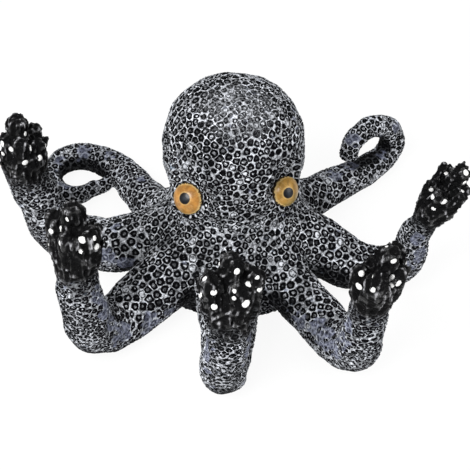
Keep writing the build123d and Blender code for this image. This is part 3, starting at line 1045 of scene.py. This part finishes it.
def rosette_fields(make, where, stretch):
    """The share of the way out of a rosette, how far the net is, and the rosette's own chance."""
    parts = make.add("ShaderNodeSeparateXYZ", {0: where}).outputs
    drawn = make.plus(make.times(make.field("rising"), stretch), 1.0)
    upwards = make.times(parts["Z"], drawn)
    laid = make.add("ShaderNodeCombineXYZ", {"X": parts["X"], "Y": parts["Y"], "Z": upwards}).outputs[0]
    place = make.vector("ADD", laid, make.wander(420.0, 3.0, 0.0021, where))
    gaps = [make.vector("DISTANCE", place, make.field(cell, "Vector"), output="Value") for cell in CELLS]
    low, high = make.least(*gaps[:2]), make.most(*gaps[:2])
    low_too, high_too = make.least(*gaps[2:]), make.most(*gaps[2:])
    first = make.least(low, low_too)
    second = make.least(make.most(low, low_too), make.least(high, high_too))
    width = make.field("width")
    core = make.math("DIVIDE", first, width)
    edge = make.math("DIVIDE", make.minus(second, first), width)
    corner = make.vector("SCALE", make.field(CELLS[0], "Vector"), scale=1000.0)
    chance = make.add("ShaderNodeTexWhiteNoise", {"Vector": corner}).outputs["Value"]
    return core, edge, chance


def brushed(make, where, stretch, noises, fields):
    """What stands high enough for the brush, and how much of its paint stays there."""
    core, edge, chance = rosette_fields(make, where, stretch)
    grit = noises["grit"]
    shaky = make.times(make.minus(grit, 0.5), 0.30)
    load = make.ramp(noises["coarse"], 0.34, 0.66)
    # Wiped places, and the crests where it is partly painted highlight, take a wider pale net.
    edge = make.minus(make.plus(edge, shaky), make.times(load, 0.030), make.times(fields["wiped"], 0.14))
    edge = make.plus(edge, make.times(fields["rising"], 0.025))
    core = make.plus(core, make.times(shaky, 0.6))
    second_chance = make.math("FRACT", make.times(chance, 7.31))
    round_rim = make.ramp(second_chance, 0.0, 1.0, 0.45, 0.56)
    round_rim = make.minus(round_rim, make.times(fields["wiped"], 0.05))
    outside = make.math("MULTIPLY", make.minus(core, round_rim), 14.0, clamp=True)
    net = make.most(make.ramp(edge, 0.030, 0.100, 1.0, 0.0), make.times(outside, 0.6))
    knob_size = make.ramp(second_chance, 0.1, 0.9, 0.0, 0.07)
    knob = make.times(make.ramp(make.minus(core, knob_size), 0.13, 0.20, 1.0, 0.0),
                      make.ramp(chance, 0.10, 0.70, 0.10, 0.95),
                      make.ramp(grit, 0.38, 0.54, 0.20, 1.0))
    full = make.times(make.most(fields["pale"], make.ramp(chance, 0.955, 0.965)),
                      make.ramp(core, 0.30, 0.42, 0.8, 0.0))
    flecks = make.times(make.ramp(grit, 0.68, 0.76), make.ramp(load, 0.2, 1.0, 0.15, 0.55))
    high = make.most(net, knob, full)
    catch = make.times(make.ramp(noises["fine"], 0.28, 0.55, 0.62, 1.0),
                       make.ramp(noises["broken"], 0.38, 0.58, 0.20, 1.0),
                       make.ramp(load, 0.0, 1.0, 0.62, 1.0))
    # Painted shade: the pale paint fades out over the undersides, the deep webs and the creases, partly
    # where the brush missed.
    dry = make.times(make.most(make.times(high, catch), flecks),
                     make.ramp(fields["under"], 0.0, 0.9, 1.0, 0.08),
                     make.ramp(fields["fade"], 0.0, 1.0, 1.0, 0.35))
    haze = make.times(fields["soft"], make.ramp(grit, 0.46, 0.66, 0.0, 0.22))
    return high, make.most(dry, haze)


def smeared(make, paint, colour, noises, fields):
    """Blue-grey over the wiped patches, and dabs round the eyes."""
    fine, grit = noises["fine"], noises["grit"]
    streaks = make.noise(420.0, 4.0, make.place((1.0, 1.0, 0.35)), 0.6)
    blue = make.blend(make.ramp(streaks, 0.35, 0.66), scaled(paint.wiped, 0.25), paint.wiped)
    blue = make.blend(make.ramp(fine, 0.54, 0.72, 0.0, 0.55), blue, scaled(paint.wiped, 2.2))
    blue = make.blend(make.ramp(grit, 0.36, 0.48, 0.75, 0.0), blue, paint.groove)
    smear = make.times(make.ramp(fields["wiped"], 0.62, 0.98, 0.0, 0.72),
                       make.ramp(noises["broken"], 0.36, 0.55, 0.45, 1.0))
    colour = make.blend(smear, colour, blue)
    return make.blend(make.times(fields["dab"], make.ramp(fine, 0.38, 0.6, 0.20, 0.75)), colour, paint.dab)


def skin_material(paint, stretch):
    """Black base coat, and pale dry brushing that only the net, the knobs and the smooth places catch."""
    material, make, shader = new_material("brushed_cast_skin")
    where = make.place()
    noises = {
        "fine": make.noise(2200.0, 4.0, where, 0.65),
        "coarse": make.noise(120.0, 3.0, where),
        "grit": make.noise(1000.0, 4.0, where, 0.62),
        "broken": make.noise(620.0, 3.0, where, 0.6),
        "upright": make.noise(560.0, 4.0, make.place((1.0, 1.0, 0.20)), 0.62),
    }
    fine, grit, upright = noises["fine"], noises["grit"], noises["upright"]
    names = ("rising", "pale", "black", "fade", "wiped", "dab", "under", "folds", "soft")
    fields = {name: make.field(name) for name in names}
    black = fields["black"]
    high, dry = brushed(make, where, stretch, noises, fields)
    base = make.blend(make.ramp(grit, 0.45, 0.75), paint.groove, paint.body_coat)
    # Over the wiped patches, and the crests where it is partly painted highlight, the pale paint turns
    # blue-grey.
    light = make.blend(make.times(fields["wiped"], 0.75), paint.highlight, scaled((0.80, 0.86, 1.0), 0.72))
    colour = smeared(make, paint, make.blend(dry, base, light), noises, fields)
    # Painted highlight: grey streaks on the crests of the upright folds of the tips; the grey flecks after
    # them are paint.
    crests = make.ramp(fields["folds"], 0.35, 0.95)
    tip = make.blend(make.times(crests, make.ramp(upright, 0.50, 0.66)), paint.tip, paint.fold_highlight_and_fleck)
    tip = make.blend(make.times(make.ramp(grit, 0.66, 0.76), 0.45), tip, paint.fold_highlight_and_fleck)
    satin = make.times(black, make.plus(make.times(crests, 0.45), 0.03))
    calm = make.most(fields["wiped"], fields["under"], black)
    height = make.times(make.plus(make.times(high, 0.8), make.times(grit, 0.45)),
                        make.ramp(calm, 0.0, 1.0, 1.0, 0.35))
    height = make.plus(height, make.times(upright, make.times(black, 1.6)))
    grain = make.bump(make.noise(4200.0, 3.0, where), 0.00006, 0.7)
    dressed_shader(make, shader, {
        "Base Color": make.blend(black, colour, tip),
        "Roughness": make.minus(make.ramp(fine, 0.2, 0.8, 0.56, 0.70), make.times(satin, 0.6)),
        "Specular IOR Level": make.plus(make.times(dry, 0.25), make.times(satin, 0.9), 0.012),
        "Normal": make.bump(height, 0.00040, 1.0, grain),
    })
    return material


def sucker_material(paint):
    """Thick white paint, a little dull in spots."""
    material, make, shader = new_material("white_sucker_paint")
    where = make.place()
    spots = make.noise(1500.0, 3.0, where)
    dressed_shader(make, shader, {
        "Base Color": make.blend(make.ramp(spots, 0.35, 0.6), scaled(paint.sucker, 0.80), paint.sucker),
        "Roughness": make.ramp(spots, 0.3, 0.7, 0.35, 0.5),
        "Normal": make.bump(make.noise(2600.0, 3.0, where), 0.00008),
    })
    return material


def iris_colour(make, look, iris, low_tint, centred, share, rays, cloud):
    """The iris: streaked with pale, olive low down, and pale again at its rim."""
    parts = make.add("ShaderNodeSeparateXYZ", {0: centred}).outputs
    colour = make.blend(make.ramp(cloud, 0.38, 0.64), scaled(iris, 0.62), iris)
    colour = make.blend(make.ramp(rays, 0.50, 0.72, 0.0, 0.30), colour, look.pale)
    downwards = make.minus(parts["Y"], make.times(parts["X"], 0.3))
    low = make.times(make.ramp(downwards, -0.45, -0.05, 1.0, 0.0), make.ramp(rays, 0.35, 0.60, 0.25, 1.0))
    colour = make.blend(make.times(low, low_tint), colour, look.olive)
    rim = make.ramp(make.plus(share, make.times(make.minus(rays, 0.5), 0.10)), 0.84, 0.97)
    return make.blend(make.times(rim, 0.85), colour, look.pale)


def eye_material(name, look, iris, gaze, low_tint):
    """A painted iris seen through a glossy dome, from the eye's own UV map."""
    material, make, shader = new_material(name)
    uv = make.add("ShaderNodeUVMap", uv_map="iris").outputs["UV"]
    centred = make.vector("SUBTRACT", uv, (0.5, 0.5, 0.0))
    share = make.times(make.vector("LENGTH", centred, output="Value"), 2.0)
    parts = make.add("ShaderNodeSeparateXYZ", {0: centred}).outputs
    angle = make.math("ARCTAN2", parts["Y"], parts["X"])
    lines = make.add("ShaderNodeCombineXYZ", {"X": make.times(angle, 3.0), "Y": make.times(share, 1.2)})
    rays = make.noise(2.6, 4.0, lines.outputs[0], 0.6)
    cloud = make.noise(260.0, 3.0, make.place())
    colour = iris_colour(make, look, iris, low_tint, centred, share, rays, cloud)
    near = make.times(make.vector("DISTANCE", centred, (*gaze, 0.0), output="Value"), 2.0)
    pale_ring = make.times(make.ramp(near, look.pupil_share, look.ring_share, 1.0, 0.0), 0.40)
    colour = make.blend(pale_ring, colour, look.pale)
    # Painted highlight: a soft grey-blue glint in the middle of the dark pupil.
    pupil_glint = make.ramp(near, 0.0, look.pupil_share * 0.75, 1.0, 0.0)
    dark = make.blend(make.times(pupil_glint, 0.5), (0.003, 0.003, 0.004), (0.03, 0.04, 0.055))
    pupil = make.ramp(near, look.pupil_share - 0.03, look.pupil_share + 0.03, 1.0, 0.0)
    colour = make.blend(pupil, colour, dark)
    # A dark, uneven outline round the edge of the dome.
    outline_wander = make.noise(900.0, 3.0, make.place())
    outline_share = make.plus(share, make.times(make.minus(outline_wander, 0.5), 0.22))
    dressed_shader(make, shader, {
        "Base Color": make.blend(make.ramp(outline_share, 0.940, 0.975), colour, (0.03, 0.018, 0.008)),
        "Roughness": make.ramp(cloud, 0.3, 0.7, 0.30, 0.42),
        "Coat Weight": 0.22,
        "Coat Roughness": 0.16,
        "Specular IOR Level": 0.25,
        "Normal": make.bump(rays, 0.00010, 0.35),
    })
    return material


def plain_material(name, colour, roughness, grain, depth, metallic=0.0):
    """Felt, board and steel: a speckled colour with its own grain."""
    material, make, shader = new_material(name)
    speckle = make.noise(grain, 4.0, make.place(), 0.6)
    dressed_shader(make, shader, {
        "Base Color": make.blend(make.ramp(speckle, 0.35, 0.65), scaled(colour, 0.55), colour),
        "Roughness": make.ramp(speckle, 0.3, 0.7, roughness - 0.08, roughness + 0.06),
        "Metallic": metallic,
        "Normal": make.bump(speckle, depth),
    })
    return material


class OCTOPUS_OT_skin(bpy.types.Operator):
    """Cast the skin over the body, the arms and the tips, and cut it apart at the glued joints"""

    bl_idname = "octopus.skin"
    bl_label = "Painted skin"

    def execute(self, context):
        sizes = context.scene.octopus_skin
        wrists = pin_planes("tip_pins")
        planes = pin_planes("arm_dowels") + wrists
        mesh, radii = cast_skin(sizes, planes, wrists)
        dressed_skin(mesh, sizes, wrists)
        bm = cut_apart(mesh, planes, radii)
        material = skin_material(context.scene.octopus_paint, sizes.stretch)
        trees = {name: BVHTree.FromBMesh(merged_copy(name)) for name in CAST_NODES}
        made = set()
        for shell in islands(bm):
            if len(shell) < CRUMB:
                continue
            node = nearest_node(shell, trees)
            if node in made:
                raise RuntimeError("two shells of the skin lie on " + node)
            made.add(node)
            piece = split_out(bm, shell)
            skin = bpy.data.meshes.new(node + "_skin")
            piece.to_mesh(skin)
            piece.free()
            skin.materials.clear()
            skin.materials.append(material)
            finished(new_object(node + "_skin", skin), [node])
        bm.free()
        bpy.data.meshes.remove(mesh)
        missing = set(CAST_NODES) - made
        if missing:
            raise RuntimeError("no skin for " + ", ".join(sorted(missing)))
        return {"FINISHED"}


def sucker_tree():
    """Geometry Nodes: a rounded, uneven disc on each point, square to the skin there."""
    tree = bpy.data.node_groups.new("Suckers", "GeometryNodeTree")
    for name, way, kind in (("Geometry", "INPUT", "Geometry"), ("Thickness", "INPUT", "Float"),
                            ("Unevenness", "INPUT", "Float"), ("Seed", "INPUT", "Int"),
                            ("Material", "INPUT", "Material"), ("Geometry", "OUTPUT", "Geometry")):
        tree.interface.new_socket(name, in_out=way, socket_type="NodeSocket" + kind)
    make = Nodes(tree)
    given = make.add("NodeGroupInput").outputs
    stored = [make.add("GeometryNodeInputNamedAttribute", {"Name": name}, data_type=kind)
              for name, kind in (("facing", "FLOAT_VECTOR"), ("width", "FLOAT"))]
    facing, width = (node.outputs["Attribute"] for node in stored)
    turn = make.add("FunctionNodeAlignRotationToVector", {"Vector": facing}, axis="Z")
    chance = make.add("FunctionNodeRandomValue", {2: 0.75, 3: 1.2, "Seed": given["Seed"]}, data_type="FLOAT")
    size = make.add("ShaderNodeCombineXYZ", {"X": width, "Y": make.times(width, chance.outputs[1]),
                                             "Z": make.times(width, given["Thickness"], 2.0)})
    ball = make.add("GeometryNodeMeshUVSphere", {"Segments": 20, "Rings": 10, "Radius": 0.5})
    dots = make.add("GeometryNodeMeshToPoints", {"Mesh": given["Geometry"]})
    placed = make.add("GeometryNodeInstanceOnPoints", {
        "Points": dots.outputs["Points"],
        "Instance": ball.outputs["Mesh"],
        "Rotation": turn.outputs["Rotation"],
        "Scale": size.outputs["Vector"],
    })
    solid = make.add("GeometryNodeRealizeInstances", {"Geometry": placed.outputs["Instances"]})
    shake = make.add("GeometryNodeSetPosition", {"Geometry": solid.outputs["Geometry"],
                                                 "Offset": make.wander(420.0, 2.0, given["Unevenness"])})
    rounded = make.add("GeometryNodeSetShadeSmooth", {"Geometry": shake.outputs["Geometry"]})
    paint = make.add("GeometryNodeSetMaterial", {"Geometry": rounded.outputs["Geometry"],
                                                 "Material": given["Material"]})
    make.add("NodeGroupOutput", {"Geometry": paint.outputs["Geometry"]})
    return tree


def set_inputs(modifier, tree, values):
    """Set a modifier's inputs by their sockets' identifiers."""
    for item in tree.interface.items_tree:
        if item.item_type == "SOCKET" and item.in_out == "INPUT" and item.name in values:
            modifier[item.identifier] = values[item.name]


class OCTOPUS_OT_suckers(bpy.types.Operator):
    """Set the white suckers on the black tips"""

    bl_idname = "octopus.suckers"
    bl_label = "Suckers"

    def execute(self, context):
        look = context.scene.octopus_suckers
        material = sucker_material(context.scene.octopus_paint)
        tree = sucker_tree()
        for node, places in SUCKERS.items():
            skin = bpy.data.objects[node + "_skin"]
            surface = BVHTree.FromObject(skin, context.evaluated_depsgraph_get())
            spots = []
            facings = []
            for place in places:
                spot, normal = surface.find_nearest(Vector(place[:3]) * MM)[:2]
                around = [normal] + [hit[1] for hit in surface.find_nearest_range(spot, 0.0012)]
                facings.append(sum(around, Vector()).normalized())
                spots.append(spot)
            mesh = bpy.data.meshes.new(node + "_suckers")
            mesh.from_pydata(spots, [], [])
            write_field(mesh, "facing", np.array(facings))
            write_field(mesh, "width", np.array([place[3] * MM for place in places]))
            dots = new_object(node + "_dots", mesh)
            modifier = dots.modifiers.new("Suckers", "NODES")
            modifier.node_group = tree
            set_inputs(modifier, tree, {"Thickness": look.thickness, "Unevenness": look.unevenness,
                                        "Seed": look.seed, "Material": material})
            solid = evaluated_mesh(dots)
            bpy.data.objects.remove(dots)
            finished(new_object(node + "_suckers", solid))
        return {"FINISHED"}


def dome_outline(radius, rim, height):
    """Half of an eye's section, from the middle of its back to the top of its dome."""
    dome = height - rim
    ball = (radius ** 2 + dome ** 2) / (2 * dome)
    outline = [(0.0, 0.0), (radius * 0.5, 0.0), (radius, 0.0), (radius, rim * 0.6)]
    for step in range(DOME_STEPS + 1):
        angle = math.asin(radius / ball) * (1 - step / DOME_STEPS)
        outline.append((ball * math.sin(angle), height - ball + ball * math.cos(angle)))
    return outline


def eye_mesh(name):
    """A domed eye turned round its axis, with a rounded rim, a closed back and a UV map."""
    middle, normal, radius, rim = eye_seat(name)
    points = read_points(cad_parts[name].data)
    height = max((Vector(point) - middle).dot(normal) for point in points) + EYE_LIFT
    radius = radius * EYE_GROWTH[name]
    bm = bmesh.new()
    layer = bm.loops.layers.uv.new("iris")
    rings = []
    angles = [2 * math.pi * k / DOME_TURNS for k in range(DOME_TURNS)]
    for across, up in dome_outline(radius, rim + EYE_LIFT, height):
        if across < 1e-9:
            rings.append([bm.verts.new((0, 0, up))])
        else:
            rings.append([bm.verts.new((across * math.cos(angle), across * math.sin(angle), up))
                          for angle in angles])
    for lower, upper in zip(rings, rings[1:]):
        for k in range(DOME_TURNS):
            after = (k + 1) % DOME_TURNS
            if len(lower) == 1:
                around = (lower[0], upper[after], upper[k])
            elif len(upper) == 1:
                around = (lower[k], lower[after], upper[0])
            else:
                around = (lower[k], lower[after], upper[after], upper[k])
            face = bm.faces.new(around)
            face.smooth = True
            for loop in face.loops:
                spot = loop.vert.co
                loop[layer].uv = (0.5 + 0.5 * spot.x / radius, 0.5 + 0.5 * spot.y / radius)
    level = Vector((0, 0, 1)).cross(normal).normalized()
    turn = Matrix((level, normal.cross(level), normal)).transposed().to_4x4()
    bm.transform(Matrix.Translation(middle) @ turn)
    bmesh.ops.recalc_face_normals(bm, faces=bm.faces)
    mesh = bpy.data.meshes.new(name + "_dome")
    bm.to_mesh(mesh)
    bm.free()
    return mesh


class OCTOPUS_OT_eyes(bpy.types.Operator):
    """Set the glossy domed eyes"""

    bl_idname = "octopus.eyes"
    bl_label = "Eyes"

    def execute(self, context):
        look = context.scene.octopus_eyes
        for name, iris, gaze, tint in (("eye_left", look.amber, look.left_gaze, 0.25),
                                       ("eye_right", look.ochre, look.right_gaze, 0.85)):
            mesh = eye_mesh(name)
            mesh.materials.append(eye_material(name + "_glaze", look, tuple(iris), tuple(gaze), tint))
            finished(new_object(name + "_dome", mesh), [name])
        return {"FINISHED"}


class OCTOPUS_OT_underside(bpy.types.Operator):
    """Give the plate, the felts and the steel pins their finishes"""

    bl_idname = "octopus.underside"
    bl_label = "Underside"

    def execute(self, context):
        felt = plain_material("black_felt", (0.030, 0.030, 0.033), 0.94, 3800.0, 0.00020)
        board = plain_material("black_board", (0.045, 0.044, 0.046), 0.72, 1200.0, 0.00006)
        steel = plain_material("pin_steel", (0.52, 0.52, 0.54), 0.36, 2400.0, 0.00002, 1.0)
        for node, material in (("base_felt", felt), ("arm_pads", felt), ("base_plate", board),
                               ("arm_dowels", steel), ("tip_pins", steel)):
            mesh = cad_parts[node].data
            mesh.materials.clear()
            mesh.materials.append(material)
        return {"FINISHED"}


def soft_lamp(name, place, power, width, target):
    lamp = bpy.data.lights.new(name, "AREA")
    lamp.energy = power
    lamp.shape = "DISK"
    lamp.size = width
    obj = new_object(name, lamp)
    obj.location = place
    obj.rotation_euler = (target - Vector(place)).to_track_quat("-Z", "Y").to_euler()


def floor_material():
    """White floor: part of it shines by itself for the camera, and the rest takes the shadow."""
    material, make, shader = new_material("white_floor")
    cloud = make.noise(2.0, 2.0, make.place())
    dressed_shader(make, shader, {
        "Base Color": make.blend(cloud, (0.92, 0.92, 0.92), (0.94, 0.94, 0.94)),
        "Roughness": 0.95,
        "Specular IOR Level": 0.0,
    })
    glow = make.add("ShaderNodeEmission", {"Color": (1.0, 1.0, 1.0, 1.0), "Strength": 1.0})
    rays = make.add("ShaderNodeLightPath").outputs
    seen = make.most(rays["Is Camera Ray"], make.most(rays["Is Glossy Ray"], rays["Is Transmission Ray"]))
    share = make.times(seen, 0.92)
    mix = make.add("ShaderNodeMixShader", {0: share, 1: shader.outputs[0], 2: glow.outputs[0]})
    output = next(node for node in material.node_tree.nodes if node.type == "OUTPUT_MATERIAL")
    make.put(mix.outputs[0], output.inputs["Surface"])
    return material


def studio_world(strength):
    """Plain light all round, and a white background for the camera."""
    world = bpy.data.worlds.new("studio")
    world.use_nodes = True
    sky = next(node for node in world.node_tree.nodes if node.type == "BACKGROUND")
    make = Nodes(world.node_tree)
    rays = make.add("ShaderNodeLightPath").outputs
    sky.inputs["Color"].default_value = (1.0, 1.0, 1.0, 1.0)
    make.put(make.ramp(rays["Is Camera Ray"], 0.0, 1.0, strength, 1.0), sky.inputs["Strength"])
    return world


def set_camera(scene, setup, target):
    turn = math.radians(setup.azimuth)
    rise = math.radians(setup.elevation)
    back = Vector((math.sin(turn) * math.cos(rise), -math.cos(turn) * math.cos(rise), math.sin(rise)))
    lens = bpy.data.cameras.new("camera")
    lens.sensor_width = 36.0
    lens.lens = setup.lens
    lens.shift_x, lens.shift_y = setup.shift
    camera = new_object("camera", lens)
    camera.location = target + back * setup.distance
    camera.rotation_euler = (-back).to_track_quat("-Z", "Y").to_euler()
    scene.camera = camera


class OCTOPUS_OT_stage(bpy.types.Operator):
    """Lay the floor and set the lamps and the camera"""

    bl_idname = "octopus.stage"
    bl_label = "Stage"

    def execute(self, context):
        scene = context.scene
        setup = scene.octopus_stage
        scene.view_settings.view_transform = "Standard"
        bm = bmesh.new()
        bmesh.ops.create_grid(bm, x_segments=1, y_segments=1, size=6.0)
        mesh = bpy.data.meshes.new("floor")
        bm.to_mesh(mesh)
        bm.free()
        mesh.materials.append(floor_material())
        new_object("floor", mesh)
        scene.world = studio_world(setup.sky)
        target = Vector(setup.target)
        soft_lamp("key", (-0.40, -0.70, 0.85), setup.key_power, 0.7, target)
        soft_lamp("side_right", (0.85, -0.25, 0.55), setup.fill_power, 0.6, target)
        soft_lamp("top", (0.05, 0.35, 1.0), setup.fill_power * 0.7, 0.8, target)
        set_camera(scene, setup, target)
        return {"FINISHED"}


class OCTOPUS_PT_dress(bpy.types.Panel):
    """Lists the pieces and their settings"""

    bl_idname = "OCTOPUS_PT_dress"
    bl_label = "Octopus figurine"
    bl_space_type = "VIEW_3D"
    bl_region_type = "UI"
    bl_category = "Octopus"

    def draw(self, context):
        layout = self.layout
        for operator in STEPS:
            layout.operator(operator.bl_idname)
        for name, kind in GROUPS:
            box = layout.box()
            for prop in kind.__annotations__:
                box.prop(getattr(context.scene, name), prop)


GROUPS = (("octopus_skin", SkinSizes), ("octopus_paint", SkinPaint), ("octopus_suckers", SuckerSizes),
          ("octopus_eyes", EyeLook), ("octopus_stage", StageSetup))
STEPS = (OCTOPUS_OT_stage, OCTOPUS_OT_skin, OCTOPUS_OT_suckers, OCTOPUS_OT_eyes, OCTOPUS_OT_underside)


def register():
    for name, kind in GROUPS:
        bpy.utils.register_class(kind)
        setattr(bpy.types.Scene, name, PointerProperty(type=kind))
    for kind in STEPS + (OCTOPUS_PT_dress,):
        bpy.utils.register_class(kind)


def unregister():
    for kind in (OCTOPUS_PT_dress,) + STEPS[::-1]:
        bpy.utils.unregister_class(kind)
    for name, kind in GROUPS[::-1]:
        delattr(bpy.types.Scene, name)
        bpy.utils.unregister_class(kind)


def main():
    register()
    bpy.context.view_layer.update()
    bpy.ops.octopus.stage()
    bpy.ops.octopus.skin()
    bpy.ops.octopus.suckers()
    bpy.ops.octopus.eyes()
    bpy.ops.octopus.underside()


if __name__ == "__main__":
    main()
